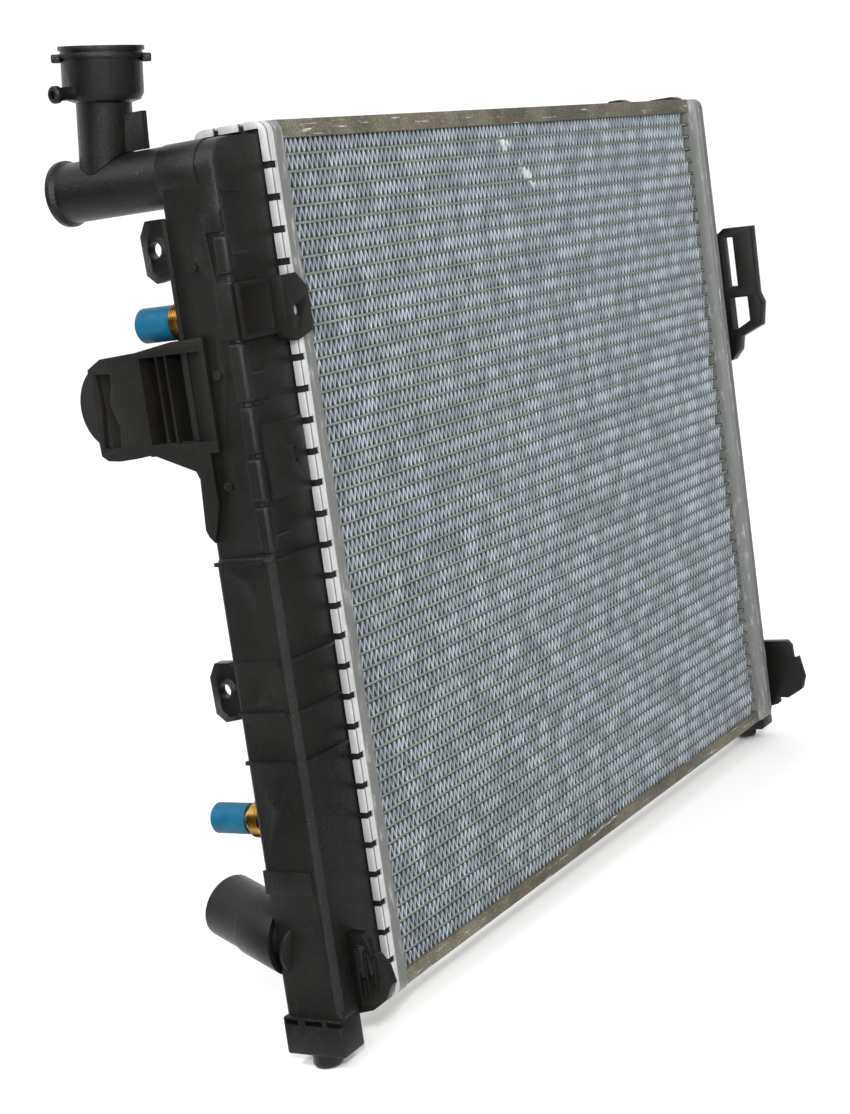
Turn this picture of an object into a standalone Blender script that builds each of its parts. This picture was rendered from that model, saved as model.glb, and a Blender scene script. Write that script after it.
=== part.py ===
import math

import bpy
import bmesh
from mathutils import Matrix, Vector

# Sizes are in millimetres from the middle of the core: x across the core, y to the rear, z up.
MM = 0.001
ORIGIN_X = 341.0
ORIGIN_Z = 274.0

CORE_LEFT = -284.7
CORE_RIGHT = 288.3
CORE_HALF_DEPTH = 16.0
ROW_PITCH = 9.5
TUBE_COUNT = 50
TUBE_HEIGHT = 1.8
TUBE_HALF_DEPTH = 15.3
TUBE_LEFT = -290.5
TUBE_RIGHT = 293.8
CORE_BASE = -242.25
MODULE_GAP = 0.3

HEADER_HALF_DEPTH = 24.0
HEADER_HALF_HEIGHT = 250.8
SHEET = 1.4
TAB_PITCH = 17.445
TAB_NOTCHES = 27
TAB_NOTCH_HEIGHT = 3.8

FOOT_HALF_DEPTH = 22.2
FOOT_HALF_HEIGHT = 249.0
TANK_WALL = 3.0
TANK_HALF_DEPTH = 19.0

# Along x, from the core outwards: the header's floor and lip, where its tabs start, gasket and tank foot.
LEFT = {"floor": -285.4, "lip": -302.2, "tabs": -295.2, "gasket": (-290.2, -287.2), "foot": (-300.4, -290.6)}
RIGHT = {"floor": 289.0, "lip": 302.3, "tabs": 296.0, "gasket": (290.7, 293.0), "foot": (293.4, 300.5)}

HOSE_X = -331.0
HOSE_Z = 227.5
HOSE_RADIUS = 16.5
HOSE_BORE = 13.0
HOSE_END = 95.5

NECK_Y = 64.4
NECK_LEAN = math.radians(7.7)
OUTLET_BASE = (-334.9, 19.0, -202.4)
OUTLET_LEAN = (0.30, 1.0, 0.23)
OUTLET_RADIUS = 19.0
OUTLET_BORE = 15.6

FITTING_X = -332.0
FITTING_UPPER_Z = 150.0
FITTING_LOWER_Z = -133.0
STEM_RADIUS = 7.5

DRAIN_X = 318.0
DRAIN_Z = -214.0
LUG_UPPER_Z = 189.0
LUG_LOWER_Z = -56.0

for old in list(bpy.data.objects):
    bpy.data.objects.remove(old, do_unlink=True)

scene = bpy.context.scene
parts = bpy.data.collections.new("car_radiator")
tools = bpy.data.collections.new("cutters")
scene.collection.children.link(parts)
scene.collection.children.link(tools)


def place(x, y, z):
    return Vector(((x + ORIGIN_X) * MM, y * MM, (z + ORIGIN_Z) * MM))


def add_object(name, mesh, home, where=None):
    item = bpy.data.objects.new(name, mesh)
    home.objects.link(item)
    if where is not None:
        item.location = where
    if home is tools:
        item.hide_render = True
        item.display_type = "WIRE"
    return item


def block(name, low, high, home=parts, round_edges=0.0):
    size = [(b - a) * MM for a, b in zip(low, high)]
    bm = bmesh.new()
    bmesh.ops.create_cube(bm, size=1.0)
    bmesh.ops.scale(bm, vec=size, verts=bm.verts)
    mesh = bpy.data.meshes.new(name)
    bm.to_mesh(mesh)
    bm.free()
    middle = [(a + b) / 2 for a, b in zip(low, high)]
    item = add_object(name, mesh, home, place(*middle))
    if round_edges:
        bevel(item, round_edges, 2)
    return item


def bevel(item, width, segments=2):
    mod = item.modifiers.new("rounded", "BEVEL")
    mod.width = width * MM
    mod.segments = segments
    mod.limit_method = "ANGLE"
    mod.angle_limit = math.radians(50)


def rod(name, start, end, radius, sides=32, home=parts):
    a = place(*start)
    b = place(*end)
    along = b - a
    bm = bmesh.new()
    bmesh.ops.create_cone(bm, cap_ends=True, segments=sides, radius1=radius * MM,
                          radius2=radius * MM, depth=along.length)
    mesh = bpy.data.meshes.new(name)
    bm.to_mesh(mesh)
    bm.free()
    item = add_object(name, mesh, home, (a + b) / 2)
    item.rotation_euler = along.to_track_quat("Z", "Y").to_euler()
    return item


def turned(name, base, along, profile, sides=40, home=parts, ring=False):
    # The profile is (radius, height) in millimetres, run down the outer side from top to bottom.
    bm = bmesh.new()
    points = [bm.verts.new((r * MM, 0.0, h * MM)) for r, h in profile]
    for first, second in zip(points, points[1:]):
        bm.edges.new((first, second))
    if ring:
        bm.edges.new((points[-1], points[0]))
    mesh = bpy.data.meshes.new(name)
    bm.to_mesh(mesh)
    bm.free()
    item = add_object(name, mesh, home, place(*base))
    item.rotation_euler = Vector(along).to_track_quat("Z", "Y").to_euler()
    mod = item.modifiers.new("turned", "SCREW")
    mod.steps = sides
    mod.render_steps = sides
    mod.use_merge_vertices = True
    mod.merge_threshold = 0.00005
    mod.use_smooth_shade = False
    return item


def outline_plate(name, outline, axis, low, high, home=parts):
    # A flat outline given as pairs on the two axes other than the one it is thick along.
    curve = bpy.data.curves.new(name, "CURVE")
    curve.dimensions = "2D"
    curve.fill_mode = "BOTH"
    curve.extrude = (high - low) / 2 * MM
    spline = curve.splines.new("POLY")
    spline.points.add(len(outline) - 1)
    for point, (a, b) in zip(spline.points, outline):
        point.co = (a * MM, b * MM, 0.0, 1.0)
    spline.use_cyclic_u = True
    flat = add_object(name + "_outline", curve, tools)
    middle = (low + high) / 2
    if axis == "x":
        turn = Matrix(((0, 0, 1), (1, 0, 0), (0, 1, 0)))
        where = place(middle, 0, 0)
    elif axis == "y":
        turn = Matrix(((1, 0, 0), (0, 0, -1), (0, 1, 0)))
        where = place(0, middle, 0)
    else:
        turn = Matrix.Identity(3)
        where = place(0, 0, middle)
    flat.matrix_world = Matrix.Translation(where) @ turn.to_4x4()
    bpy.context.view_layer.update()
    depsgraph = bpy.context.evaluated_depsgraph_get()
    mesh = bpy.data.meshes.new_from_object(flat.evaluated_get(depsgraph))
    bm = bmesh.new()
    bm.from_mesh(mesh)
    bmesh.ops.remove_doubles(bm, verts=bm.verts, dist=0.00001)
    bmesh.ops.recalc_face_normals(bm, faces=bm.faces)
    bm.to_mesh(mesh)
    bm.free()
    item = add_object(name, mesh, home)
    item.matrix_world = flat.matrix_world.copy()
    bpy.data.objects.remove(flat, do_unlink=True)
    return item


def loft(name, rings, home=parts):
    bm = bmesh.new()
    loops = []
    for ring in rings:
        loops.append([bm.verts.new(place(*point)) for point in ring])
    for lower, upper in zip(loops, loops[1:]):
        count = len(lower)
        for i in range(count):
            j = (i + 1) % count
            bm.faces.new((lower[i], lower[j], upper[j], upper[i]))
    bm.faces.new(loops[0])
    bm.faces.new(loops[-1])
    bmesh.ops.recalc_face_normals(bm, faces=bm.faces)
    mesh = bpy.data.meshes.new(name)
    bm.to_mesh(mesh)
    bm.free()
    return add_object(name, mesh, home)


def combine(item, other, operation):
    mod = item.modifiers.new(other.name, "BOOLEAN")
    mod.operation = operation
    mod.solver = "EXACT"
    mod.object = other
    return item


def cut(item, *others):
    for other in others:
        combine(item, other, "DIFFERENCE")


def join(item, *others):
    for other in others:
        combine(item, other, "UNION")


def repeat(item, count, step):
    mod = item.modifiers.new("row", "ARRAY")
    mod.count = count
    mod.use_relative_offset = False
    mod.use_constant_offset = True
    mod.constant_offset_displace = Vector(step) * MM
    mod.use_merge_vertices = False
    return item


def material(name, color, roughness, metallic=0.0):
    mat = bpy.data.materials.new(name)
    mat.use_nodes = True
    shader = mat.node_tree.nodes["Principled BSDF"]
    shader.inputs["Base Color"].default_value = (*color, 1.0)
    shader.inputs["Roughness"].default_value = roughness
    shader.inputs["Metallic"].default_value = metallic
    mat.diffuse_color = (*color, 1.0)
    return mat


black = {"color": (0.018, 0.018, 0.018), "roughness": 0.42}
silver = {"color": (0.62, 0.62, 0.60), "roughness": 0.38, "metallic": 0.9}
brass = {"color": (0.70, 0.48, 0.22), "roughness": 0.28, "metallic": 1.0}


def finish(item, look):
    item.data.materials.clear()
    item.data.materials.append(material(item.name, **look))


def rounded_box_outline(half_a, half_b, radius, steps=3):
    points = []
    for quarter, (sa, sb) in enumerate(((1, 1), (-1, 1), (-1, -1), (1, -1))):
        for step in range(steps + 1):
            angle = math.radians(90 * quarter + 90 * step / steps)
            points.append((sa * (half_a - radius) + radius * math.cos(angle),
                           sb * (half_b - radius) + radius * math.sin(angle)))
    return points


# ---- core: fin strips between flat tubes, two of each in one module -------------------------
def core_strip(name, low_z, high_z):
    return block(name, (CORE_LEFT, -CORE_HALF_DEPTH, low_z), (CORE_RIGHT, CORE_HALF_DEPTH, high_z), tools)


fin_height = ROW_PITCH - TUBE_HEIGHT
module_base = CORE_BASE + MODULE_GAP / 2
first = block("core_module_shape", (CORE_LEFT, -CORE_HALF_DEPTH, module_base),
              (CORE_RIGHT, CORE_HALF_DEPTH, CORE_BASE + fin_height + 0.3), tools)
pieces = [core_strip("module_fin", CORE_BASE + ROW_PITCH - 0.3, CORE_BASE + ROW_PITCH + fin_height + 0.3)]
for index in range(2):
    top = CORE_BASE + ROW_PITCH * (index + 1) - (MODULE_GAP / 2 if index else 0.0)
    base = CORE_BASE + ROW_PITCH * (index + 1) - TUBE_HEIGHT
    pieces.append(block("module_tube", (TUBE_LEFT, -TUBE_HALF_DEPTH, base),
                        (TUBE_RIGHT, TUBE_HALF_DEPTH, top), tools))
join(first, *pieces)
bpy.context.view_layer.update()
module_mesh = bpy.data.meshes.new_from_object(
    first.evaluated_get(bpy.context.evaluated_depsgraph_get()))
module_mesh.name = "core_module"
finish_core = {"color": (0.40, 0.43, 0.46), "roughness": 0.45, "metallic": 0.8}
module_mesh.materials.clear()
module_mesh.materials.append(material("core", **finish_core))
for index in range(TUBE_COUNT // 2):
    module = add_object("core_row_%02d" % (index + 1), module_mesh, parts)
    module.location = first.location + Vector((0, 0, 2 * ROW_PITCH * index * MM))
last_base = CORE_BASE + ROW_PITCH * TUBE_COUNT
last_fin = block("core_row_26", (CORE_LEFT, -CORE_HALF_DEPTH, last_base + MODULE_GAP / 2),
                 (CORE_RIGHT, CORE_HALF_DEPTH, last_base + fin_height))
finish(last_fin, finish_core)

# ---- side plates: shallow channels that close the core at the top and the bottom -------------
PLATE_IN = 240.9
PLATE_OUT = 251.0
for name, sign in (("side_plate_top", 1), ("side_plate_bottom", -1)):
    start = PLATE_IN if sign > 0 else CORE_BASE - MODULE_GAP
    low, high = sorted((sign * abs(start), sign * PLATE_OUT))
    plate = block(name, (-284.9, -17.6, low), (288.5, 17.6, high))
    inner = sorted((sign * (abs(start) + 1.6), sign * (PLATE_OUT + 2)))
    cut(plate, block(name + "_channel", (-292, -16.1, inner[0]), (296, 16.1, inner[1]), tools))
    finish(plate, {"color": (0.42, 0.41, 0.36), "roughness": 0.5, "metallic": 0.7})


# ---- headers: pressed pans with tube slots and a row of folded tabs ---------------------------
def header(name, side):
    out = 1 if side["lip"] > 0 else -1

    def span(first, second):
        return tuple(sorted((first, second)))

    floor, lip = side["floor"], side["lip"]
    pan = outline_plate(name, rounded_box_outline(HEADER_HALF_DEPTH, HEADER_HALF_HEIGHT, 7.0, 4), "x",
                        *span(floor, lip))
    cavity = outline_plate(name + "_cavity",
                           rounded_box_outline(HEADER_HALF_DEPTH - SHEET, HEADER_HALF_HEIGHT - SHEET, 5.6, 4),
                           "x", *span(floor + out * SHEET, lip - out * SHEET), home=tools)
    mouth = outline_plate(name + "_mouth", rounded_box_outline(19.8, 246.6, 0.8), "x",
                          *span(lip - 4, lip + 4), home=tools)
    slot_x = span(floor - out * 2, floor + out * 4)
    first_tube = CORE_BASE + ROW_PITCH - TUBE_HEIGHT / 2
    slots = repeat(block(name + "_slots", (slot_x[0], -TUBE_HALF_DEPTH - 0.3, first_tube - 1.2),
                         (slot_x[1], TUBE_HALF_DEPTH + 0.3, first_tube + 1.2), tools),
                   TUBE_COUNT, (0, 0, ROW_PITCH))
    notch_x = span(side["tabs"], lip + out * 3)
    low = -TAB_PITCH * (TAB_NOTCHES - 1) / 2
    notches = repeat(block(name + "_notches", (notch_x[0], -30, low - TAB_NOTCH_HEIGHT / 2),
                           (notch_x[1], 30, low + TAB_NOTCH_HEIGHT / 2), tools),
                     TAB_NOTCHES, (0, 0, TAB_PITCH))
    ends = repeat(block(name + "_end_notches", (notch_x[0], -10.5, -260), (notch_x[1], -6.5, 260), tools),
                  2, (0, 17.0, 0))
    cut(pan, cavity, mouth, slots, notches, ends)
    finish(pan, silver)
    return pan


header("header_left", LEFT)
header("header_right", RIGHT)


# ---- gaskets: a flat rubber ring under each tank foot -----------------------------------------
def gasket(name, side):
    low, high = side["gasket"]
    ring = outline_plate(name, rounded_box_outline(22.0, 248.6, 4.0), "x", low, high)
    hole = outline_plate(name + "_hole", rounded_box_outline(17.2, 241.4, 2.0), "x",
                         low - 3, high + 3, tools)
    cut(ring, hole)
    finish(ring, {"color": (0.03, 0.03, 0.03), "roughness": 0.85})


gasket("gasket_left", LEFT)
gasket("gasket_right", RIGHT)


# ---- left tank: a deep moulded box whose outer wall ends in an arc over the hose pipe ---------
def left_outer(z):
    if z > HOSE_Z:
        rise = min(z - HOSE_Z, HOSE_RADIUS)
        return HOSE_X - math.sqrt(HOSE_RADIUS ** 2 - rise ** 2)
    if z > 19:
        return -346.5
    return -348.5


def left_rear_round(z):
    return 3.2 if z > 238 else 3.0


def left_section(z, inset, mouth_x):
    edge = left_outer(z) + inset
    half = TANK_HALF_DEPTH - inset
    rear = max(left_rear_round(z) - inset, 1.0)
    front = max(3.0 - inset, 1.0)
    ring = [(mouth_x, -half, z)]
    for step in range(3):
        angle = math.radians(270 - 45 * step)
        ring.append((edge + front + front * math.cos(angle), -half + front + front * math.sin(angle), z))
    for step in range(6):
        angle = math.radians(180 - 18 * step)
        ring.append((edge + rear + rear * math.cos(angle), half - rear + rear * math.sin(angle), z))
    ring.append((mouth_x, half, z))
    return ring


def at_height(ring, z):
    return [(x, y, z) for x, y, _ in ring]


OUTER_LEVELS = (-244, 18, 20, HOSE_Z, 232, 237, 240.5, 242.8, 243.9)
INNER_LEVELS = (18, 20, HOSE_Z, 232, 236, 239)
outer = [left_section(z, 0.0, -295.0) for z in OUTER_LEVELS]
tank_left = loft("tank_left", outer)
inner = [at_height(left_section(-244, TANK_WALL, -288.0), -241)]
inner += [left_section(z, TANK_WALL, -288.0) for z in INNER_LEVELS]
inner_tool = loft("tank_left_inside", inner, tools)
foot_left = outline_plate("tank_left_foot", rounded_box_outline(FOOT_HALF_DEPTH, FOOT_HALF_HEIGHT, 5.0),
                          "x", *LEFT["foot"], tools)
stand_left = block("tank_left_stand", (-351.5, -19, -265.5), (-330, 20, -243), tools, round_edges=1.5)
peg_left = rod("tank_left_peg", (-341, 0, -274), (-341, 0, -262), 9.0, 28, tools)
bevel(peg_left, 2.5, 2)
mouth_left = block("tank_left_mouth", (-305, -16, -241), (-283, 16, 238), tools)
join(tank_left, foot_left, stand_left, peg_left)
cut(tank_left, inner_tool, mouth_left,
    rod("tank_left_hose_hole", (HOSE_X, 8, HOSE_Z), (HOSE_X, 30, HOSE_Z), HOSE_BORE, 32, tools),
    rod("tank_left_fitting_hole_1", (FITTING_X, 10, FITTING_UPPER_Z), (FITTING_X, 26, FITTING_UPPER_Z),
        STEM_RADIUS + 0.4, 24, tools),
    rod("tank_left_fitting_hole_2", (FITTING_X, 10, FITTING_LOWER_Z), (FITTING_X, 26, FITTING_LOWER_Z),
        STEM_RADIUS + 0.4, 24, tools))
finish(tank_left, black)

outlet_dir = Vector(OUTLET_LEAN).normalized()


def outlet_point(distance):
    return tuple(b + d * distance for b, d in zip(OUTLET_BASE, outlet_dir))


cut(tank_left, rod("tank_left_outlet_hole", outlet_point(-6), outlet_point(14), 10.0, 28, tools))

# ---- upper hose pipe, straight to the rear, with a bead at its mouth --------------------------
hose = turned("hose_pipe_upper", (HOSE_X, 0, HOSE_Z), (0, 1, 0),
              [(HOSE_BORE, HOSE_END), (17.2, HOSE_END), (18.3, HOSE_END - 0.9), (18.3, HOSE_END - 3.6),
               (HOSE_RADIUS, HOSE_END - 6.0), (HOSE_RADIUS, 19.3), (HOSE_BORE, 19.3)], 32, ring=True)
cut(hose, rod("hose_pipe_neck_hole", (HOSE_X, NECK_Y, HOSE_Z), (HOSE_X, NECK_Y - 4, HOSE_Z + 26), 9.5,
              24, tools))
finish(hose, black)

# ---- filler neck: a cup on a stem, leaning forward a little -----------------------------------
neck_dir = Vector((0, -math.sin(NECK_LEAN), math.cos(NECK_LEAN)))


def neck_point(distance):
    return (HOSE_X, NECK_Y + neck_dir.y * distance, HOSE_Z + neck_dir.z * distance)


neck = turned("filler_neck", neck_point(0), neck_dir,
              [(18.6, 75.4), (23.4, 75.4), (23.4, 73.0), (22.2, 73.0), (22.2, 71.4), (24.1, 71.4),
               (24.1, 69.2), (22.1, 69.2), (22.1, 50.5), (20.2, 46.9), (15.2, 45.2), (15.2, 6.0),
               (10.0, 6.0), (10.0, 48.8), (18.6, 48.8)], 28, ring=True)
# Two cam ears hang from the second flange, left and right as seen across the filler cup.
side_dir = Vector((1, 0, 0))
back_dir = neck_dir.cross(side_dir)
ear_axes = Matrix((side_dir, back_dir, neck_dir)).transposed().to_4x4()
ear_frame = Matrix.Translation(place(*neck_point(69.0))) @ ear_axes
for index, sign in enumerate((-1, 1)):
    ear = block("filler_ear_%d" % index, (-2.6, -8.0, -2.3), (2.6, 8.0, 2.3), tools, round_edges=0.8)
    ear.matrix_world = ear_frame @ Matrix.Rotation(math.radians(128), 4, "Z") @ Matrix.Translation(
        Vector((sign * 24.2 * MM, 0, 0)))
    join(neck, ear)
nipple_mid = neck_point(51.8)
nipple_tip = (nipple_mid[0] - 34.0, nipple_mid[1] + 7.3, nipple_mid[2] - 0.7)
nipple_dir = (Vector(nipple_tip) - Vector(nipple_mid)).normalized()
join(neck, turned("filler_nipple_body", nipple_tip, nipple_dir,
                  [(0.0, 0.0), (3.9, 0.0), (4.7, -0.8), (4.7, -3.4), (3.6, -5.0), (3.6, -14.4), (0.0, -14.4)],
                  20, tools))
gusset = outline_plate("filler_gusset", [(33.9, 244.4), (52.0, 244.4), (50.0, 264.5), (32.3, 264.5)],
                       "x", -333.2, -328.8, tools)
join(neck, gusset)
bore_start = tuple(Vector(nipple_mid) + nipple_dir * 18.0)
bore_end = tuple(Vector(nipple_mid) + nipple_dir * 37.0)
cut(neck,
    rod("filler_nipple_bore", bore_start, bore_end, 2.3, 16, tools),
    rod("filler_pipe_clearance", (HOSE_X, 10, HOSE_Z), (HOSE_X, 100, HOSE_Z), HOSE_RADIUS + 0.5, 32, tools))
finish(neck, black)

# ---- lower hose outlet, leaning up and inward --------------------------------------------------
outlet = turned("outlet_lower", OUTLET_BASE, outlet_dir,
                [(OUTLET_BORE, 54.0), (18.2, 54.0), (OUTLET_RADIUS, 53.0), (OUTLET_RADIUS, 26.0), (20.0, 25.0),
                 (20.0, -14.0), (OUTLET_BORE, -14.0)], 32, ring=True)
cut(outlet, block("outlet_lower_flat", (-400, -30, -260), (-280, 19.3, -150), tools))
finish(outlet, black)

# ---- lugs and frame brackets on the left tank --------------------------------------------------
def lug(name, z):
    shape = [(19.35, z - 15), (32, z - 17), (38, z - 12), (38.6, z + 9), (34, z + 17), (24, z + 17),
             (19.35, z + 13)]
    item = outline_plate(name, shape, "x", -344, -337)
    cut(item, rod(name + "_hole", (-350, 30, z + 1), (-330, 30, z + 1), 4.4, 20, tools))
    finish(item, black)


lug("lug_upper", LUG_UPPER_Z)
lug("lug_lower", LUG_LOWER_Z)

# The rear bracket frames the tank's outer wall and carries a slotted plate behind it.
REAR_FRAME = [(3.6, 79), (51, 80), (60, 79), (72, 78.3), (80, 79), (84.3, 82), (85, 96), (85.5, 121),
              (84.6, 130.5), (75, 135.6), (50, 137), (25, 140.6), (3.6, 141.2)]
rear = outline_plate("bracket_rear", REAR_FRAME, "x", -350, -346.85)
disc = rod("bracket_rear_disc", (-347.2, 70.5, 109), (-342.5, 70.5, 109), 25.6, 40, tools)
tray = block("bracket_rear_tray", (-348.8, 19.4, 79.3), (-326, 50.7, 136.7), tools)
web = outline_plate("bracket_rear_web", [(10, 50), (16, 29.5), (19.5, 33), (21.2, 37), (19.6, 65), (21.5, 69.5),
                                         (50, 80.6), (10, 80.6)], "x", -349.2, -346.9, tools)
web_back = outline_plate("bracket_rear_web_back", [(19.6, 36), (21, 37), (19.9, 65), (21.5, 69.5), (48, 80.4),
                                                   (19.6, 80.4)], "x", -348.4, -340.0, tools)
join(rear, tray, disc, web, web_back)
cut(rear, block("bracket_rear_window", (-355, 6.4, 85.5), (-346, 30, 134), tools),
    block("bracket_rear_pocket", (-356, 22.2, 86), (-328, 47.8, 133.6), tools))
for index, y in enumerate((33.2, 39.6)):
    join(rear, block("bracket_rear_rib_%d" % index, (-345.0, y, 84), (-327, y + 1.7, 135), tools))
cut(rear, outline_plate("bracket_rear_slot",
                        [(69.8, 85.8), (81, 86.2), (80.4, 96.3), (79, 107), (79.1, 118.4), (80, 127.3),
                         (69.2, 127), (69.6, 121.9), (72.6, 112), (70.5, 103), (68, 97.5)], "x", -355, -346.3,
                        tools))
finish(rear, black)

front = outline_plate("bracket_front", [(-346, 137), (-310.5, 137), (-310.5, 167.5), (-346, 167.5)], "y",
                      -21.5, -19.35)
front_ear = outline_plate("bracket_front_ear",
                          [(-313, 132.2), (-306, 131.5), (-289, 136), (-289, 157), (-291, 161), (-299, 168),
                           (-313, 167.5)], "y", -28, -24.5, tools)
join(front, block("bracket_front_wall", (-313.5, -28, 134), (-310.2, -19.35, 167.5), tools), front_ear)
cut(front, block("bracket_front_window", (-342.5, -25, 140.6), (-317.5, -20.6, 164.2), tools),
    rod("bracket_front_hole", (-302, -36, 148), (-302, -22, 148), 4.0, 20, tools))
finish(front, black)

hook = [(-19.35, -198), (-29, -199), (-32.5, -204), (-34, -210.5), (-37, -211), (-42, -218.5),
        (-44, -227.4), (-39, -236.8), (-29.4, -243.5), (-19.35, -246)]
lower = outline_plate("bracket_left_lower", hook, "x", -332, -326)
cut(lower, outline_plate("bracket_left_lower_window", [(-23.5, -205), (-29, -205), (-34.5, -222), (-23.5, -227)],
                         "x", -336, -322, tools))
finish(lower, black)

# ---- right tank: a slimmer moulding with a rounded back ---------------------------------------
RIGHT_SECTION = ((297, 19), (306, 18.8), (318, 16.4), (330, 12.4), (339, 7.2), (343, 0))


def right_section(z, grow, mouth_x):
    half = [(x + (grow if x > 300 else 0), y + (grow if y else 0)) for x, y in RIGHT_SECTION]
    ring = [(mouth_x, half[0][1], z)] + [(x, y, z) for x, y in half[1:]]
    ring += [(x, -y, z) for x, y in reversed(half[1:-1])]
    ring.append((mouth_x, -half[0][1], z))
    return ring


tank_right = loft("tank_right", [right_section(z, 0.0, 297) for z in (-244, 244)])
bevel(tank_right, 1.0, 2)
join(tank_right,
     outline_plate("tank_right_foot", rounded_box_outline(FOOT_HALF_DEPTH, FOOT_HALF_HEIGHT, 5.0), "x",
                   *RIGHT["foot"], tools),
     block("tank_right_stand", (314, -9, -266), (338, 20.5, -243), tools, round_edges=1.5))
peg_right = rod("tank_right_peg", (325, 10.5, -274), (325, 10.5, -262), 8.5, 28, tools)
bevel(peg_right, 2.5, 2)
join(tank_right, peg_right,
     rod("tank_right_boss", (DRAIN_X, 8, DRAIN_Z), (DRAIN_X, 24, DRAIN_Z), 9.5, 28, tools))
cut(tank_right, loft("tank_right_inside", [right_section(z, -TANK_WALL, 292) for z in (-241, 241)], tools),
    block("tank_right_mouth", (285, -16, -241), (305, 16, 241), tools),
    rod("tank_right_drain_hole", (DRAIN_X, 4, DRAIN_Z), (DRAIN_X, 27, DRAIN_Z), 5.4, 24, tools))
finish(tank_right, black)
right_clear = loft("tank_right_clearance", [right_section(z, 0.35, 290) for z in (-244.4, 244.4)], tools)
header_clear = block("header_right_clearance", (280, -24.4, -251.2), (302.7, 24.4, 251.2), tools)

upper = outline_plate("bracket_right_upper",
                      [(-10, 44), (-19, 42), (-26, 50), (-28, 60), (-46, 68), (-49, 86), (-46, 94),
                       (-46.5, 147), (-24, 147.5), (-19, 144), (-10, 144)], "x", 316, 328)
cut(upper, outline_plate("bracket_right_window_1", [(-22, 101), (-31, 101), (-31, 140), (-22, 140)], "x",
                         312, 332, tools),
    outline_plate("bracket_right_window_2", [(-23, 92), (-38, 92), (-38, 73), (-27, 67), (-23, 67)], "x",
                  312, 332, tools),
    right_clear)
finish(upper, black)

right_lower = outline_plate("bracket_right_lower",
                            [(-8, -191), (-37, -191), (-40.5, -195), (-41, -206), (-45.5, -204.5),
                             (-49, -222), (-46, -232), (-34, -239), (-25, -238.5), (-25, -244),
                             (-8, -249)], "x", 316, 324)
cut(right_lower, right_clear, block("bracket_right_lower_relief", (313.5, -9.5, -270), (345, 22, -242), tools))
finish(right_lower, black)

arm = outline_plate("bracket_right_top",
                    [(4, 245.8), (4, 254), (8, 256), (27, 256), (30, 252), (45, 252), (48, 258),
                     (53, 260.5), (62, 260.5), (67, 257), (69, 250), (66, 241), (56, 237), (30, 236),
                     (20, 225), (8, 225)], "x", 318, 330)
cut(arm, right_clear, rod("bracket_right_top_hole", (310, 57, 249), (340, 57, 249), 5.0, 20, tools))
finish(arm, black)

# ---- oil cooler inside the left tank, its two fittings and their transit caps -----------------
cooler = block("oil_cooler", (-342, -9, -155), (-322, 9, 172), round_edges=3.0)
for index, z in enumerate((FITTING_UPPER_Z, FITTING_LOWER_Z)):
    join(cooler, rod("oil_cooler_boss_%d" % index, (FITTING_X, 6, z), (FITTING_X, 12, z), 9.0, 24, tools))
finish(cooler, {"color": (0.45, 0.30, 0.14), "roughness": 0.4, "metallic": 1.0})

for level, z, cap_start, cap_radius in (("upper", FITTING_UPPER_Z, 30.5, 9.7),
                                        ("lower", FITTING_LOWER_Z, 34.0, 8.9)):
    stem = turned("fitting_" + level, (FITTING_X, 0, z), (0, 1, 0),
                  [(4.4, 49.0), (6.4, 49.0), (STEM_RADIUS, 47.5), (STEM_RADIUS, 12.3), (4.4, 12.3)], 28,
                  ring=True)
    finish(stem, brass)
    washer = turned("seal_" + level, (FITTING_X, 0, z), (0, 1, 0),
                    [(7.9, 20.9), (11.0, 20.9), (11.0, 19.35), (7.9, 19.35)], 28, ring=True)
    finish(washer, {"color": (0.55, 0.27, 0.15), "roughness": 0.35, "metallic": 1.0})
    nut_mesh = turned("nut_" + level, (FITTING_X, 0, z), (0, 1, 0),
                      [(7.9, 28.0), (10.6, 28.0), (11.4, 27.2), (11.4, 21.2), (7.9, 21.2)], 6, ring=True)
    cut(nut_mesh, rod("nut_bore_" + level, (FITTING_X, 18, z), (FITTING_X, 32, z), 7.9, 28, tools))
    finish(nut_mesh, brass)
    cap = turned("cap_" + level, (FITTING_X, cap_start, z), (0, 1, 0),
                 [(0.0, 24.0), (cap_radius - 1.2, 24.0), (cap_radius, 22.8), (cap_radius, 0.0),
                  (7.85, 0.0), (7.85, 49.6 - cap_start), (0.0, 49.6 - cap_start)], 32)
    finish(cap, {"color": (0.02, 0.22, 0.42), "roughness": 0.4})

# ---- drain cock with its seal ------------------------------------------------------------------
seal = turned("drain_seal", (DRAIN_X, 0, DRAIN_Z), (0, 1, 0),
              [(5.5, 26.0), (8.2, 26.0), (8.2, 24.35), (5.5, 24.35)], 24, ring=True)
finish(seal, {"color": (0.03, 0.03, 0.03), "roughness": 0.8})
cock = rod("drain_cock", (DRAIN_X, 6.0, DRAIN_Z), (DRAIN_X, 28.0, DRAIN_Z), 5.0, 24)
head = rod("drain_cock_head", (DRAIN_X, 26.4, DRAIN_Z), (DRAIN_X, 30.4, DRAIN_Z), 8.4, 24, tools)
wing = block("drain_cock_wing", (DRAIN_X - 2.0, 29, DRAIN_Z - 9.5), (DRAIN_X + 2.0, 41, DRAIN_Z + 9.5), tools,
             round_edges=1.5)
join(cock, head, wing)
finish(cock, {"color": (0.05, 0.05, 0.05), "roughness": 0.5})

for item in parts.objects:
    if item.name.startswith(("hose", "filler", "outlet", "fitting", "cap", "nut", "seal", "drain")):
        item.data.shade_smooth()
        item.data.set_sharp_from_angle(angle=math.radians(40))
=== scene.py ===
import math
import random

import bmesh
import bpy
from mathutils import Matrix, Vector


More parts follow.
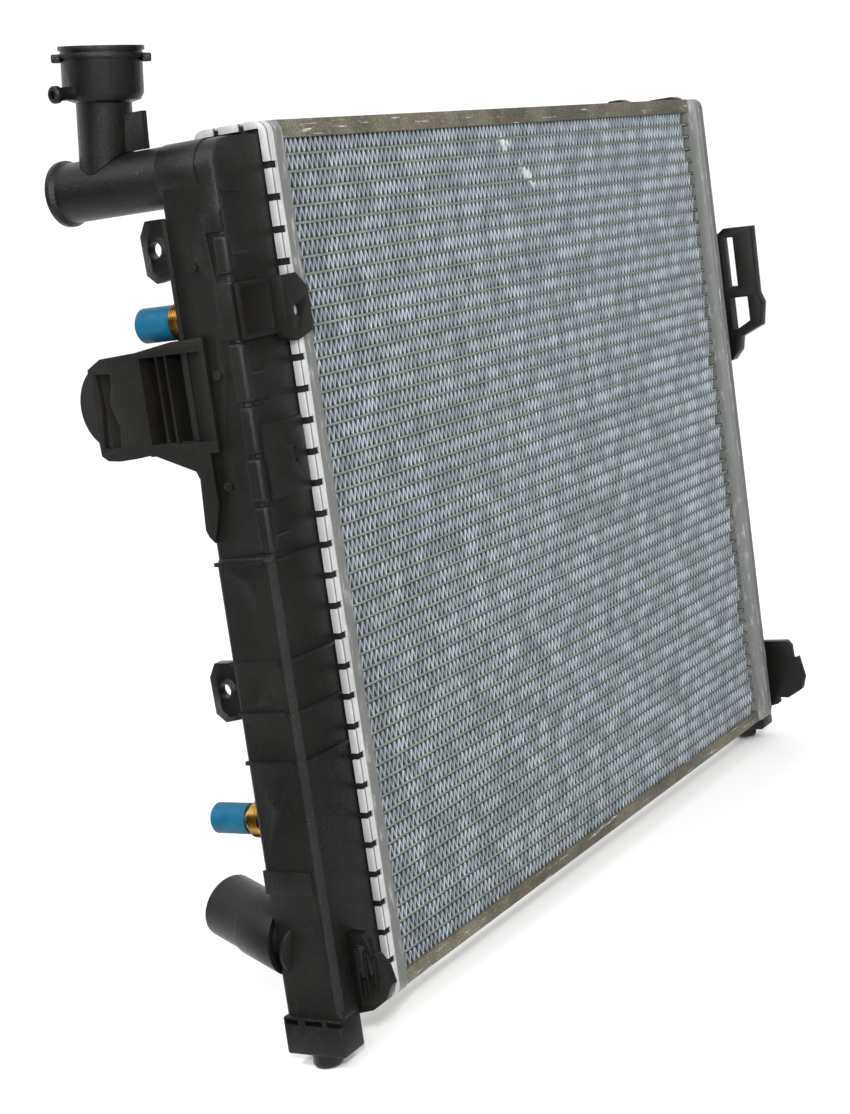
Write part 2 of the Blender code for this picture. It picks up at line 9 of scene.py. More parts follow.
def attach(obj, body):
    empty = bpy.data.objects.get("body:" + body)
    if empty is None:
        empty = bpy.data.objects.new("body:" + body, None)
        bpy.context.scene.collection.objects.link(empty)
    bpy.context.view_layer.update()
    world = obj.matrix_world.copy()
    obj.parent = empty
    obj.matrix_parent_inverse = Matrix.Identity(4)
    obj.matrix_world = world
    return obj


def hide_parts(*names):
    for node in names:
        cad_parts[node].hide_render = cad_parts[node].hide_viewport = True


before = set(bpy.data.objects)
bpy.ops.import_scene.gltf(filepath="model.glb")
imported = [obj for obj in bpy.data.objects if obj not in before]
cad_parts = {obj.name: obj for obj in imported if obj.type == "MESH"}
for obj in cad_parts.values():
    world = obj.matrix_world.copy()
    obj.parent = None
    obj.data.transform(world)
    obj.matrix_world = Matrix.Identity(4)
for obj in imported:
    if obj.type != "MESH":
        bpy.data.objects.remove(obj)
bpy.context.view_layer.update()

# Places are in millimetres from the middle of the core: x across it, y to the rear, z up.
mm = 0.001
coreMiddle = Vector((0.341, 0.0, 0.274))


def at(x, y, z):
    return coreMiddle + Vector((x, y, z)) * mm


def local(point):
    return (point - coreMiddle) / mm


# ---- small modelling helpers

def pick(item):
    bpy.ops.object.select_all(action="DESELECT")
    item.select_set(True)
    bpy.context.view_layer.objects.active = item


def named(name):
    item = bpy.context.object
    item.name = name
    item.data.name = name
    return item


def settle(item):
    # the object goes to the origin and its place stays in the mesh
    pick(item)
    bpy.ops.object.transform_apply(location=True, rotation=True, scale=True)
    return item


def addBox(name, low, high):
    bpy.ops.object.select_all(action="DESELECT")
    low, high = at(*low), at(*high)
    bpy.ops.mesh.primitive_cube_add(size=1, location=(low + high) / 2, scale=high - low)
    return settle(named(name))


def addRod(name, start, end, radius, sides):
    bpy.ops.object.select_all(action="DESELECT")
    start, end = at(*start), at(*end)
    along = end - start
    turn = along.to_track_quat("Z", "Y").to_euler()
    bpy.ops.mesh.primitive_cylinder_add(vertices=sides, radius=radius * mm, depth=along.length,
                                        location=(start + end) / 2, rotation=turn)
    return settle(named(name))


def edit(item, kind):
    pick(item)
    bpy.ops.object.mode_set(mode="EDIT")
    bpy.ops.mesh.select_mode(type=kind)
    bpy.ops.mesh.select_all(action="DESELECT")


def done():
    bpy.ops.object.mode_set(mode="OBJECT")


def selectWhere(item, kind, test):
    # faces or edges are told apart by their middle, in millimetres, and their direction
    bpy.ops.mesh.select_mode(type=kind)
    work = bmesh.from_edit_mesh(item.data)
    for face in work.faces:
        face.select_set(False)
    for edge in work.edges:
        edge.select_set(False)
    if kind == "FACE":
        for face in work.faces:
            if test(local(face.calc_center_median()), face.normal):
                face.select_set(True)
    elif kind == "EDGE":
        for edge in work.edges:
            a, b = (local(v.co) for v in edge.verts)
            if test((a + b) / 2, (b - a).normalized()):
                edge.select_set(True)
    else:
        for vert in work.verts:
            if test(local(vert.co), None):
                vert.select_set(True)
    work.select_flush_mode()
    bmesh.update_edit_mesh(item.data)


def apply(item, kind, **settings):
    pick(item)
    mod = item.modifiers.new(kind.lower(), kind)
    for key, value in settings.items():
        setattr(mod, key, value)
    bpy.ops.object.modifier_apply(modifier=mod.name)


def merge(item, others, operation="UNION"):
    for other in others:
        apply(item, "BOOLEAN", object=other, operation=operation, solver="EXACT")
        bpy.data.objects.remove(other, do_unlink=True)


def soften(item, width, segments=2):
    apply(item, "BEVEL", width=width * mm, segments=segments, limit_method="ANGLE",
          angle_limit=math.radians(40), use_clamp_overlap=True, harden_normals=False)


def smooth(item, angle=35):
    pick(item)
    bpy.ops.object.shade_smooth_by_angle(angle=math.radians(angle))
    return item


def carried(node, name):
    # a copy of a CAD node with its loose triangles merged into clean faces
    item = bpy.data.objects.new(name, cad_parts[node].data.copy())
    item.data.name = name
    bpy.context.scene.collection.objects.link(item)
    item.data.materials.clear()
    edit(item, "VERT")
    bpy.ops.mesh.select_all(action="SELECT")
    bpy.ops.mesh.remove_doubles(threshold=0.000002)
    bpy.ops.mesh.dissolve_limited(angle_limit=math.radians(0.6), delimit={"NORMAL"})
    if item.data.has_custom_normals:
        bpy.ops.mesh.customdata_custom_splitnormals_clear()
    done()
    return item


def turned(name, base, along, profile, sides):
    # a ring is pulled from one (radius, height) to the next and closed on itself, then laid along a direction
    bpy.ops.object.select_all(action="DESELECT")
    radius, height = profile[0]
    bpy.ops.mesh.primitive_circle_add(vertices=sides, radius=radius * mm, location=(0, 0, height * mm))
    item = settle(named(name))
    edit(item, "EDGE")
    bpy.ops.mesh.select_all(action="SELECT")
    for nextRadius, nextHeight in profile[1:]:
        bpy.ops.mesh.extrude_region_move(
            TRANSFORM_OT_translate={"value": (0, 0, (nextHeight - height) * mm)})
        grow = nextRadius / radius
        bpy.ops.transform.resize(value=(grow, grow, 1), center_override=(0, 0, nextHeight * mm))
        radius, height = nextRadius, nextHeight
    bpy.ops.mesh.select_all(action="DESELECT")
    bpy.ops.mesh.select_non_manifold()
    bpy.ops.mesh.bridge_edge_loops()
    bpy.ops.mesh.select_all(action="SELECT")
    bpy.ops.mesh.normals_make_consistent(inside=False)
    done()
    turn = Vector(along).to_track_quat("Z", "Y").to_matrix().to_4x4()
    item.matrix_world = Matrix.Translation(at(*base)) @ turn
    return settle(item)


def keep(item, paint, body="radiator", stands=()):
    item.data.materials.clear()
    item.data.materials.append(paint.material)
    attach(item, body)
    if stands:
        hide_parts(*stands)


# ---- shader maths

class Wire:
    def __init__(self, paint, socket):
        self.paint = paint
        self.socket = socket

    def maths(self, operation, *values):
        return self.paint.node("ShaderNodeMath", {"operation": operation}, *values)

    def __add__(self, other):
        return self.maths("ADD", self, other)

    __radd__ = __add__

    def __sub__(self, other):
        return self.maths("SUBTRACT", self, other)

    def __mul__(self, other):
        return self.maths("MULTIPLY", self, other)

    __rmul__ = __mul__

    def clipped(self):
        return self.paint.node("ShaderNodeClamp", None, self)

    def size(self):
        return self.maths("ABSOLUTE", self)


class Paint:
    def __init__(self, name, **fixed):
        self.material = bpy.data.materials.new(name)
        self.material.use_nodes = True
        self.tree = self.material.node_tree
        self.shader = self.tree.nodes["Principled BSDF"]
        for key, value in fixed.items():
            self.shader.inputs[key.replace("_", " ")].default_value = value
        self.place = self.node("ShaderNodeTexCoord", output="Object")

    def plug(self, socket, value):
        if isinstance(value, Wire):
            self.tree.links.new(value.socket, socket)
        elif value is not None:
            if socket.type == "RGBA" and len(value) == 3:
                value = (*value, 1.0)
            socket.default_value = value

    def node(self, kind, settings=None, *values, output=0, **inputs):
        item = self.tree.nodes.new(kind)
        for key, value in (settings or {}).items():
            if key == "stops":
                self.ramp(item, value)
            else:
                setattr(item, key, value)
        for socket, value in zip(item.inputs, values):
            self.plug(socket, value)
        for key, value in inputs.items():
            self.plug(item.inputs[key.replace("_", " ")], value)
        return Wire(self, item.outputs[output])

    def ramp(self, item, stops):
        elements = item.color_ramp.elements
        while len(elements) < len(stops):
            elements.new(0.5)
        for element, (where, tone) in zip(elements, stops):
            element.position = where
            element.color = (tone, tone, tone, 1.0)

    def noise(self, scale, detail=3.0, rough=0.55, stretch=None):
        spot = self.place
        if stretch:
            spot = self.node("ShaderNodeMapping", None, Vector=spot, Scale=stretch)
        return self.node("ShaderNodeTexNoise", None, Vector=spot, Scale=scale, Detail=detail, Roughness=rough)

    def grade(self, value, low, high, first=0.0, last=1.0):
        return self.node("ShaderNodeMapRange", {"interpolation_type": "SMOOTHSTEP"}, value, low, high,
                         first, last)

    def blend(self, factor, first, second):
        item = self.tree.nodes.new("ShaderNodeMix")
        item.data_type = "RGBA"
        for index, value in ((0, factor), (6, first), (7, second)):
            self.plug(item.inputs[index], value)
        return Wire(self, item.outputs[2])

    def axes(self):
        split = self.tree.nodes.new("ShaderNodeSeparateXYZ")
        self.plug(split.inputs[0], self.place)
        return [Wire(self, socket) for socket in split.outputs]

    def bump(self, height, strength, distance, under=None):
        return self.node("ShaderNodeBump", None, Height=height, Strength=strength, Distance=distance,
                         Normal=under)

    def into(self, **inputs):
        for key, value in inputs.items():
            self.plug(self.shader.inputs[key.replace("_", " ")], value)


def mouldedBlack(name, tone=(0.0038, 0.0037, 0.0032), pale=(0.0105, 0.0100, 0.0092), sheen=0.21):
    paint = Paint(name, Specular_IOR_Level=0.24)
    cloud = paint.grade(paint.noise(9.0, 4.0), 0.35, 0.7)
    dust = paint.grade(paint.noise(70.0, 6.0, 0.7), 0.55, 0.80)
    grain = paint.noise(1500.0, 2.0)
    flow = paint.noise(60.0, 3.0, 0.6, stretch=(1.0, 1.0, 0.18))
    colour = paint.blend(cloud * 0.7, tone, pale)
    colour = paint.blend(dust * 0.06, colour, (0.050, 0.046, 0.040))
    rough = sheen + 0.10 * cloud + 0.14 * dust + 0.08 * flow
    paint.into(Base_Color=colour, Roughness=rough,
               Normal=paint.bump(flow, 0.12, 0.002, paint.bump(grain, 0.70, 0.0005)))
    return paint


tankBlack = mouldedBlack("tankBlack")
fittingBlack = mouldedBlack("bracketBlack", (0.0040, 0.0037, 0.0031), (0.0090, 0.0083, 0.0070), 0.24)


def alloy(name, first, second, rough, spot, metal, scratch=0.0, stretch=(1, 1, 1), speck=0.25):
    paint = Paint(name, Specular_IOR_Level=0.5)
    cloud = paint.grade(paint.noise(spot, 5.0, 0.65), 0.35, 0.68)
    fine = paint.noise(900.0, 3.0, 0.7)
    colour = paint.blend(cloud, first, second)
    colour = paint.blend(paint.grade(fine, 0.5, 0.72) * speck, colour, (0.9, 0.92, 0.95))
    roughness = rough + 0.14 * cloud - 0.10 * paint.grade(fine, 0.4, 0.7)
    height = fine
    if scratch:
        lines = paint.noise(420.0, 4.0, 0.75, stretch=stretch)
        marks = paint.grade(lines, 0.60, 0.70)
        colour = paint.blend(marks * scratch, colour, (0.85, 0.84, 0.80))
        roughness = roughness - 0.12 * marks
        height = fine + lines
    paint.into(Base_Color=colour, Roughness=roughness.clipped(), Metallic=metal,
               Normal=paint.bump(height, 0.12, 0.0004))
    return paint


scarMark = {"height": 216, "slope": (0.631, 0.776)}  # above the middle of the core, and the way it leans


def foldedMetal():
    # the folds are painted darker quickly behind their front edge: painted shade between the folds, while the
    # front edge keeps the metal's own colour
    paint = Paint("finMetal", Specular_IOR_Level=0.5, Metallic=0.55)
    x, y, z = paint.axes()
    # painted shade mask: 0 deep inside the core, 1 at the front and back edges of the folds
    deep = paint.grade(y.size(), 0.0143, 0.0160)
    cloud = paint.grade(paint.noise(55.0, 5.0, 0.7), 0.38, 0.64)
    speck = paint.grade(paint.noise(420.0, 4.0, 0.75), 0.50, 0.66)
    scrape = paint.grade(paint.noise(26.0, 6.0, 0.8, stretch=(1.0, 1.0, 0.6)), 0.69, 0.76)
    front = paint.blend(cloud, (0.50, 0.57, 0.63), (0.80, 0.88, 0.96))
    front = paint.blend(speck * 0.5, front, (0.78, 0.82, 0.86))
    front = paint.blend(scrape * 0.8, front, (0.95, 0.95, 0.95))
    # a slanting scar of crushed, bare folds near the top
    slopeX, slopeZ = scarMark["slope"]
    right = x - coreMiddle.x
    above = z - (coreMiddle.z + scarMark["height"] * mm)
    across = right * slopeX + above * slopeZ
    along = right * slopeZ - above * slopeX
    scar = paint.grade(across.size(), 0.0015, 0.0050, 1.0, 0.0)
    scar = scar * paint.grade(along.size(), 0.024, 0.030, 1.0, 0.0)
    scar = scar * paint.grade(paint.noise(85.0, 3.0), 0.47, 0.53)
    # painted shade: inside the core the fins take a dark colour in place of their own
    colour = paint.blend(deep, (0.085, 0.096, 0.110), front)
    paint.into(Base_Color=paint.blend(scar, colour, (1.0, 1.0, 1.0)), Roughness=0.36 + 0.16 * cloud,
               Normal=paint.bump(speck, 0.2, 0.0004))
    return paint


finMetal = foldedMetal()
tubeMetal = alloy("tubeMetal", (0.15, 0.165, 0.14), (0.24, 0.25, 0.20), 0.5,
                  spot=60.0, metal=0.35, speck=0.05)
plateMetal = alloy("plateMetal", (0.085, 0.075, 0.050), (0.165, 0.149, 0.106), 0.48, spot=22.0, metal=0.4,
                   scratch=0.8, stretch=(0.06, 1.0, 1.0))


def crimpedMetal(name, sheetTone, lipPaintedLight, seam, lip, out):
    # the sheet is dull; the folded lip past the seam takes its own tone, which is painted light, and a fine
    # painted shadow line of the curled edge runs just inside its edge
    paint = Paint(name, Specular_IOR_Level=0.4, Metallic=0.3)
    across = paint.axes()[0] * out
    cloud = paint.grade(paint.noise(26.0, 5.0, 0.65), 0.35, 0.68)
    grain = paint.grade(paint.noise(240.0, 4.0, 0.7, stretch=(1.0, 1.0, 0.25)), 0.52, 0.74)
    edge = out * coreMiddle.x
    # painted light on the folded lip past the seam
    lipLightMask = paint.grade(across, edge + seam * mm - 0.0003, edge + seam * mm + 0.0003)
    # painted shadow of the curled edge: a fine dark line just inside the lip
    curlShadowLine = paint.grade((across - (edge + (lip - 1.9) * mm)).size(), 0.0004, 0.0009, 1.0, 0.0)
    colour = paint.blend(lipLightMask, sheetTone, lipPaintedLight)
    colour = paint.blend(cloud * 0.30, colour, tuple(tone * 0.62 for tone in sheetTone))
    colour = paint.blend(grain * 0.35, colour, (0.80, 0.80, 0.78))
    colour = paint.blend(curlShadowLine * 0.75, colour, (0.05, 0.05, 0.05))
    paint.into(Base_Color=colour, Roughness=0.42 + 0.12 * cloud,
               Normal=paint.bump(grain, 0.15, 0.0004))
    return paint


# one header metal painted twice with different painted light: the left header carries a painted highlight on
# its lip, the right header a lighter sheet and painted shade on its lip
headerMetalLeft = crimpedMetal("headerMetalLeft", (0.160, 0.165, 0.158), (0.47, 0.47, 0.465),
                               294.6, 302.2, -1)
headerMetalRight = crimpedMetal("headerMetalRight", (0.20, 0.21, 0.20), (0.150, 0.137, 0.140),
                                296.0, 304.5, 1)
brassMetal = alloy("brassMetal", (0.58, 0.36, 0.10), (0.80, 0.56, 0.22), 0.22,
                   spot=60.0, metal=1.0, speck=0.05)
copperMetal = alloy("copperMetal", (0.42, 0.20, 0.11), (0.58, 0.30, 0.18), 0.30,
                    spot=80.0, metal=1.0, speck=0.05)


def softPlastic(name, tone, pale, rough, specular=0.5):
    paint = Paint(name, Specular_IOR_Level=specular)
    cloud = paint.grade(paint.noise(90.0, 4.0), 0.35, 0.7)
    grain = paint.noise(1500.0, 2.0)
    paint.into(Base_Color=paint.blend(cloud, tone, pale), Roughness=rough + 0.15 * cloud,
               Normal=paint.bump(grain, 0.12, 0.0003))
    return paint


capBlue = softPlastic("capBlue", (0.0005, 0.058, 0.115), (0.001, 0.085, 0.165), 0.40, 0.25)
sealRubber = softPlastic("sealRubber", (0.012, 0.012, 0.012), (0.025, 0.024, 0.022), 0.75, 0.3)
cockGrey = softPlastic("cockGrey", (0.03, 0.03, 0.03), (0.05, 0.05, 0.048), 0.42)

# ---- the core: folded fins between flat tubes
core = {"left": -280.5, "right": 282.5, "halfDepth": 16.0, "pitch": 9.5, "tubes": 50, "tubeHeight": 1.5,
        "base": -242.25, "legs": 224, "sheet": 0.30, "seed": 41, "tightest": 0.986, "dentSize": 0.022,
        "dentDepth": 0.0034, "tubeLeft": -285.2, "tubeRight": 289.0, "tubeHalfDepth": 15.3, "tubeEdge": 0.7,
        "foldGap": 0.18}


def makeFins():
    rise = core["pitch"] - core["tubeHeight"]
    span = core["right"] - core["left"]
    middle = at((core["left"] + core["right"]) / 2, 0, core["base"] + rise / 2)
    bpy.ops.object.select_all(action="DESELECT")
    bpy.ops.mesh.primitive_grid_add(x_subdivisions=core["legs"], y_subdivisions=1, size=1, location=middle)
    fins = named("coreFins")
    fins.scale = (span * mm, 2 * core["halfDepth"] * mm, 1)
    settle(fins)
    leg = span / core["legs"]
    half = (rise / 2 - core["foldGap"]) * mm
    edit(fins, "VERT")
    selectWhere(fins, "VERT", lambda p, _: round((p.x - core["left"]) / leg) % 2 == 0)
    bpy.ops.transform.translate(value=(0, 0, half))
    bpy.ops.mesh.select_all(action="INVERT")
    bpy.ops.transform.translate(value=(0, 0, -half))
    done()
    apply(fins, "ARRAY", count=core["tubes"] + 1, use_relative_offset=False, use_constant_offset=True,
          constant_offset_displace=(0, 0, core["pitch"] * mm))
    # every strip is packed a little tighter or looser, so the folds don't line up from row to row
    draw = random.Random(core["seed"])
    edit(fins, "VERT")
    for row in range(core["tubes"] + 1):
        low = core["base"] + core["pitch"] * row - 0.5
        high = low + rise + 1.0
        selectWhere(fins, "VERT", lambda p, _: low < p.z < high)
        squeeze = draw.uniform(core["tightest"], 1.0)
        side = draw.choice((core["left"], core["right"]))
        bpy.ops.transform.resize(value=(squeeze, 1, 1), center_override=at(side, 0, 0))
    done()
    dents = bpy.data.textures.new("finDents", "CLOUDS")
    dents.noise_scale = core["dentSize"]
    apply(fins, "DISPLACE", texture=dents, texture_coords="LOCAL", direction="X",
          strength=core["dentDepth"], mid_level=0.5)
    apply(fins, "SOLIDIFY", thickness=core["sheet"] * mm, offset=0)
    return fins


fins = makeFins()
keep(fins, finMetal, stands=["core_row_%02d" % row for row in range(1, 27)])
print("fins", len(fins.data.polygons))


def makeTubes():
    top = core["base"] + core["pitch"]
    deep = core["tubeHalfDepth"]
    tubes = addBox("coreTubes", (core["tubeLeft"], -deep, top - core["tubeHeight"]),
                   (core["tubeRight"], deep, top))
    edit(tubes, "EDGE")
    selectWhere(tubes, "EDGE", lambda p, along: abs(along.x) > 0.9)
    bpy.ops.mesh.bevel(offset=core["tubeEdge"] * mm, segments=3)
    done()
    apply(tubes, "ARRAY", count=core["tubes"], use_relative_offset=False, use_constant_offset=True,
          constant_offset_displace=(0, 0, core["pitch"] * mm))
    return smooth(tubes, 50)


keep(makeTubes(), tubeMetal)
print("tubes")

# ---- pieces that keep the shape of their CAD node, with rounded edges
dressed = [
    # node, new name, paint, slot, edge rounding, body
    ("header_left", "headerLeft", headerMetalLeft, "header_alloy", 0.5, "radiator"),
    ("header_right", "headerRight", headerMetalRight, "header_alloy", 0.5, "radiator"),
    ("side_plate_top", "sidePlateTop", plateMetal, "plate_alloy", 0.4, "radiator"),
    ("side_plate_bottom", "sidePlateBottom", plateMetal, "plate_alloy", 0.4, "radiator"),
    ("tank_left", "tankLeft", tankBlack, "tank_plastic", 0.8, "radiator"),
    ("tank_right", "tankRight", tankBlack, "tank_plastic", 0.5, "radiator"),
    ("hose_pipe_upper", "hosePipeUpper", tankBlack, "tank_plastic", 0.3, "radiator"),
    ("filler_neck", "fillerNeck", tankBlack, "tank_plastic", 0.3, "radiator"),
    ("outlet_lower", "outletLower", tankBlack, "tank_plastic", 0.3, "radiator"),
    ("lug_upper", "lugUpper", fittingBlack, "tank_plastic", 0.8, "radiator"),
    ("lug_lower", "lugLower", fittingBlack, "tank_plastic", 0.8, "radiator"),
    ("bracket_rear", "bracketRear", fittingBlack, "tank_plastic", 0.5, "radiator"),
    ("bracket_front", "bracketFront", fittingBlack, "tank_plastic", 0.5, "radiator"),
    ("bracket_left_lower", "bracketLeftLower", fittingBlack, "tank_plastic", 0.8, "radiator"),
    ("bracket_right_upper", "bracketRightUpper", fittingBlack, "tank_plastic", 0.8, "radiator"),
    ("bracket_right_lower", "bracketRightLower", fittingBlack, "tank_plastic", 0.8, "radiator"),
    ("bracket_right_top", "bracketRightTop", fittingBlack, "tank_plastic", 0.8, "radiator"),
    ("fitting_upper", "fittingUpper", brassMetal, "fitting_brass", 0.0, "radiator"),
    ("fitting_lower", "fittingLower", brassMetal, "fitting_brass", 0.0, "radiator"),
    ("seal_upper", "sealUpper", copperMetal, "seal_copper", 0.2, "radiator"),
    ("seal_lower", "sealLower", copperMetal, "seal_copper", 0.2, "radiator"),
    ("cap_upper", "capUpper", capBlue, "cap_plastic", 0.0, "cap_upper"),
    ("cap_lower", "capLower", capBlue, "cap_plastic", 0.0, "cap_lower"),
    ("drain_cock", "drainCock", cockGrey, "cock_plastic", 0.4, "drain_cock"),
    ("drain_seal", "drainSeal", sealRubber, "rubber", 0.3, "radiator"),
    ("gasket_left", "gasketLeft", sealRubber, "rubber", 0.5, "radiator"),
    ("gasket_right", "gasketRight", sealRubber, "rubber", 0.5, "radiator"),
    ("oil_cooler", "oilCooler", copperMetal, "cooler_brass", 0.0, "radiator"),
]


# heights and places on the left tank, in millimetres
tankLeft = {
    "slantTop": 17, "slantEdge": (-348.5, -19.35), "slantPush": 1.6,
    "footSlots": ((9.6, 18.0), (-6.7, 5.0), (-19.0, -9.4)),  # along y
    "padHoles": (73.6, 67.6),
    "steps": (17.6, -38, -67, -95),
    "cornerBlocks": ((172, 193), (104, 136), (76, 102), (50, 74), (22, 48)),
    "cornerEdge": 2.4,
    "shortRibs": (215, 182, 118, 102, 30),
    "ejectorMarks": ((-3, 5), (-3, -60), (4, -120), (2, 60), (-2, 120), (3, 178)),  # y and z
    "ridgeLean": 4.4,
    "pipeHeight": 227.5, "pipeRadius": 17.1, "pipeBore": 13.0,
}


def turnAll(item, degrees, axis, centre):
    # the piece stays in edit mode, so it can still be moved before done()
    edit(item, "VERT")
    bpy.ops.mesh.select_all(action="SELECT")
    bpy.ops.transform.rotate(value=math.radians(degrees), orient_axis=axis, center_override=centre)


def cutTankLeft(tank):
    # the slanted corner of the lower half and three slots above the foot block
    edgeX, edgeY = tankLeft["slantEdge"]
    push = tankLeft["slantPush"] * mm
    corner = addBox("corner", (edgeX - 5, edgeY - 5, -240), (edgeX + 5, edgeY + 5, tankLeft["slantTop"]))
    turnAll(corner, 45, "Z", at(edgeX, edgeY, 0))
    bpy.ops.transform.translate(value=(-push, -push, 0))
    done()
    slots = [addBox("slot", (-354, low, -247.4), (-347.5, high, -244.4))
             for low, high in tankLeft["footSlots"]]
    merge(tank, [corner, *slots], "DIFFERENCE")


def tankLeftRelief():
    # steps, ribs, pads and marks that stand on the tank's outer and front walls
    pieces = []
    for level in tankLeft["steps"]:
        pieces.append(addBox("band", (-349.9, -13.0, level - 1.1), (-347.5, 18.9, level + 1.1)))
        pieces.append(addBox("frontRib", (-344.5, -20.3, level - 1.0), (-303.5, -18.9, level + 1.0)))
    pieces.append(addBox("band", (-349.7, -13.0, -171), (-347.6, 18.9, -157.4)))
    pieces.append(addBox("band", (-348.2, 16.6, 42), (-345.5, 19.2, 205)))
    ridge = addBox("ridge", (-347.7, -13.6, 41), (-345.9, -12.2, 206))
    turnAll(ridge, tankLeft["ridgeLean"], "X", at(-346.8, -12.9, 123.5))
    done()
    pieces.append(ridge)
    pieces.append(addBox("squarePad", (-348.2, -19.2, 195), (-345.8, -8.0, 206)))
    # a column of slightly proud blocks runs down the front corner of the upper half
    for index, (low, high) in enumerate(tankLeft["cornerBlocks"]):
        block = addBox("cornerBlock", (-348.8, -20.6, low), (-341.5, -11.5 + 0.9 * (index % 2), high))
        soften(block, tankLeft["cornerEdge"], 4)
        pieces.append(block)
    pieces.append(addBox("bracketPad", (-348.6, -19.2, 138), (-345.8, -8.0, 167)))
    pieces.append(addBox("frontPad", (-341, -21.0, 50), (-303.4, -18.8, 91)))
    for level in tankLeft["shortRibs"]:
        pieces.append(addBox("shortRib", (-344, -20.2, level), (-327, -18.9, level + 1.4)))
    for y, z in tankLeft["ejectorMarks"]:
        pieces.append(addRod("ejectorMark", (-349.2, y, z), (-345.0, y, z), 2.6, 24))
    return pieces


def detailTankLeft(tank):
    z = tankLeft["pipeHeight"]
    holes = [addRod("padHole", (-314, -24, level), (-314, -19.4, level), 1.5, 20)
             for level in tankLeft["padHoles"]]
    cutTankLeft(tank)
    relief = tankLeftRelief()
    relief.append(addRod("pipeRun", (-331, 19.2, z), (-331, -7.0, z), tankLeft["pipeRadius"], 48))
    merge(tank, relief)
    holes.append(addRod("pipeBore", (-331, 24, z), (-331, -3.0, z), tankLeft["pipeBore"], 40))
    merge(tank, holes, "DIFFERENCE")


def sinkFace(item, rim, depth, aim):
    # the flat facing one way keeps a rim and its middle is pushed in
    edit(item, "FACE")
    selectWhere(item, "FACE", lambda p, normal: normal.dot(aim) > 0.99)
    bpy.ops.mesh.inset(thickness=rim * mm, depth=0.0, use_boundary=True, use_even_offset=True)
    bpy.ops.transform.translate(value=Vector(aim) * (-depth * mm))
    done()


def detailLug(lug):
    sinkFace(lug, 2.2, 3.0, Vector((-1, 0, 0)))


hookRibs = ((-25.0, 0), (-30.5, 4), (-36.0, 12))  # y of each rib and how much shorter it is at its foot


def detailHook(hook):
    ribs = [addBox("hookRib", (-334.2, y, -240 + lift), (-331.4, y + 1.6, -206 - lift / 2))
            for y, lift in hookRibs]
    merge(hook, ribs)


def detailOutlet(outlet):
    # the bore ends in the dark of the tank, not in daylight past its side
    merge(outlet, [addRod("boreEnd", (-338.7, 6.4, -205.3), (-338.0, 8.7, -204.8), 16.4, 32)])


def detailHeaderRight(header):
    # a smooth lip covers the notches of the right header's front row
    merge(header, [addBox("frontLip", (294.5, -24.3, -243.5), (302.2, -22.9, 243.5))])


details = {
    "tank_left": detailTankLeft, "header_right": detailHeaderRight, "outlet_lower": detailOutlet,
    "lug_upper": detailLug, "lug_lower": detailLug, "bracket_left_lower": detailHook,
}
for node, name, paint, slot, edge, body in dressed:
    item = carried(node, name)
    if node in details:
        details[node](item)
    if edge:
        soften(item, edge)
    smooth(item)
    keep(item, paint, body, [node])
print("dressed pieces", len(dressed))

# ---- threaded barrels that clamp the two fittings to the tank
barrel = {"base": 21.2, "top": 30.2, "pitch": 1.5, "crest": 10.6, "root": 9.7, "bore": 7.9, "collar": 11.4,
          "collarHeight": 1.4}


def makeBarrel(name, z):
    profile = [(barrel["bore"], barrel["top"]), (barrel["root"], barrel["top"])]
    height = barrel["top"]
    while height - barrel["pitch"] >= barrel["base"] + barrel["collarHeight"]:
        profile += [(barrel["crest"], height - barrel["pitch"] * 0.35),
                    (barrel["crest"], height - barrel["pitch"] * 0.65),
                    (barrel["root"], height - barrel["pitch"])]
        height -= barrel["pitch"]
    profile += [(barrel["collar"], height - 0.1), (barrel["collar"], barrel["base"]),
                (barrel["bore"], barrel["base"])]
    return smooth(turned(name, (-332, 0, z), (0, 1, 0), profile, 40), 30)


keep(makeBarrel("barrelUpper", 150), brassMetal, stands=["nut_upper"])
keep(makeBarrel("barrelLower", -133), brassMetal, stands=["nut_lower"])
print("barrels")

# ---- floor, light and camera
studio = {"floorTone": (0.92, 0.92, 0.915), "skyTone": (1.0, 1.0, 1.0), "skyStrength": 1.12}
bpy.ops.object.select_all(action="DESELECT")
bpy.ops.mesh.primitive_plane_add(size=40, location=(0, 0, -0.0005))
floor = named("floor")
floorPaint = Paint("floorPaint", Specular_IOR_Level=0.1)
floorPaint.into(Base_Color=floorPaint.blend(floorPaint.noise(3.0), studio["floorTone"], (0.95, 0.95, 0.945)),
                Roughness=0.9)
floor.data.materials.append(floorPaint.material)

world = bpy.data.worlds.new("studioWorld")
bpy.context.scene.world = world
world.use_nodes = True
background = world.node_tree.nodes["Background"]
background.inputs["Color"].default_value = (*studio["skyTone"], 1.0)
background.inputs["Strength"].default_value = studio["skyStrength"]

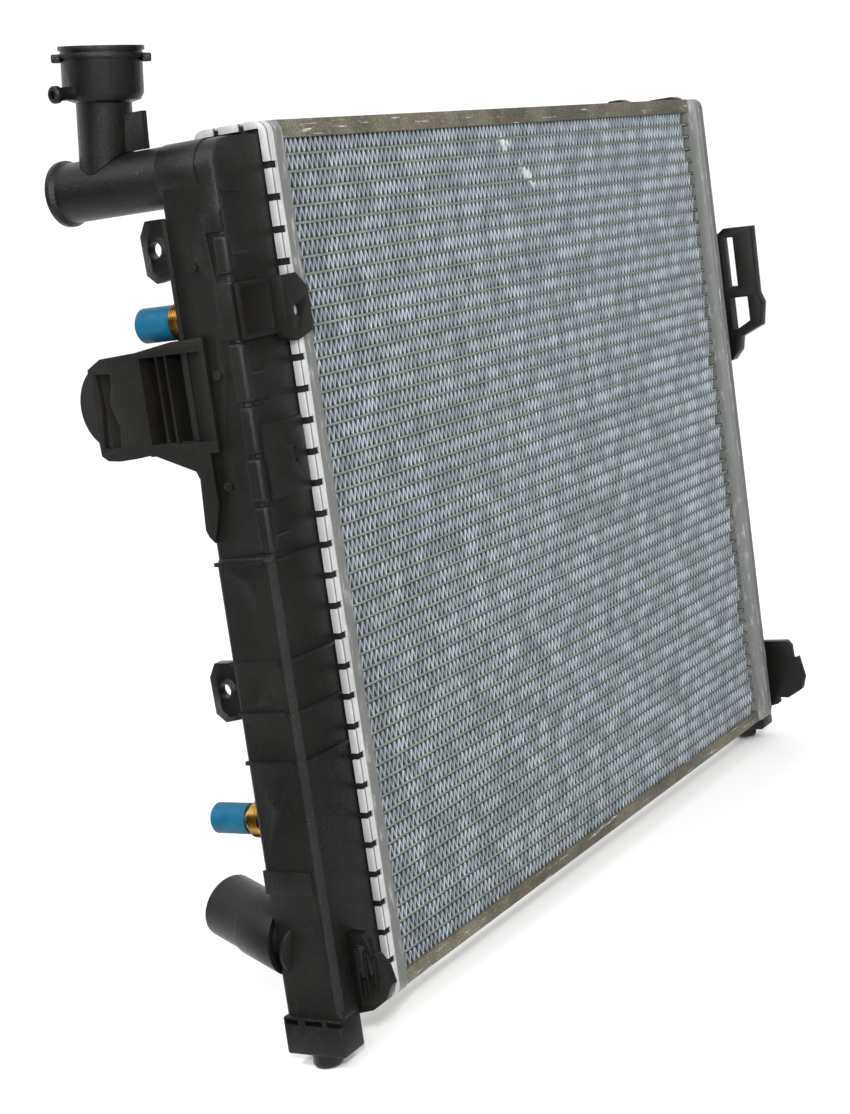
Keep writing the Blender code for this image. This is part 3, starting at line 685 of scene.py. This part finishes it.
lamps = [
    # name, place, aim, width, height, power
    ("keyLamp", (-1.1, -2.2, 2.3), (0.3, 0.0, 0.3), 0.9, 0.9, 34.0),
    ("flashLamp", (-0.98, -0.72, 0.70), (0.15, 0.0, 0.28), 0.10, 0.10, 12.0),
    ("topLamp", (-1.3, 0.2, 1.7), (0.0, 0.0, 0.5), 0.30, 0.30, 18.0),
]
for name, place, aim, width, height, power in lamps:
    light = bpy.data.lights.new(name, "AREA")
    light.shape = "RECTANGLE"
    light.size = width
    light.size_y = height
    light.energy = power
    lamp = bpy.data.objects.new(name, light)
    lamp.location = place
    lamp.rotation_euler = (Vector(aim) - Vector(place)).to_track_quat("-Z", "Y").to_euler()
    bpy.context.scene.collection.objects.link(lamp)

# dark cards that only show up as reflections in the two flat tank walls
cards = [
    # name, place, turn about z
    ("frontCard", (1.75, -1.22, 0.2), 55.0),
    ("sideCard", (-1.75, 1.25, 0.2), 55.0),
]
cardPaint = Paint("cardPaint", Specular_IOR_Level=0.0, Roughness=1.0)
cardPaint.into(Base_Color=cardPaint.blend(cardPaint.noise(4.0), (0.002, 0.002, 0.002), (0.004, 0.004, 0.004)))
for name, place, turn in cards:
    bpy.ops.object.select_all(action="DESELECT")
    upright = (math.radians(90), 0, math.radians(turn))
    bpy.ops.mesh.primitive_plane_add(size=1, location=place, rotation=upright)
    card = named(name)
    card.scale = (2.0, 3.0, 1)
    card.data.materials.append(cardPaint.material)
    card.visible_camera = False
    card.visible_diffuse = False
    card.visible_transmission = False
    card.visible_shadow = False
floor.visible_glossy = False

viewer = {"place": (-0.89494, -0.66249, 0.45711), "turn": (80.850, 7.960, -59.603), "lens": 66.56}
cameraData = bpy.data.cameras.new("studioCamera")
cameraData.lens = viewer["lens"]
cameraData.sensor_width = 36.0
cameraData.clip_end = 100.0
camera = bpy.data.objects.new("studioCamera", cameraData)
camera.location = viewer["place"]
camera.rotation_euler = [math.radians(angle) for angle in viewer["turn"]]
bpy.context.scene.collection.objects.link(camera)
bpy.context.scene.camera = camera
bpy.context.scene.view_settings.view_transform = "Standard"
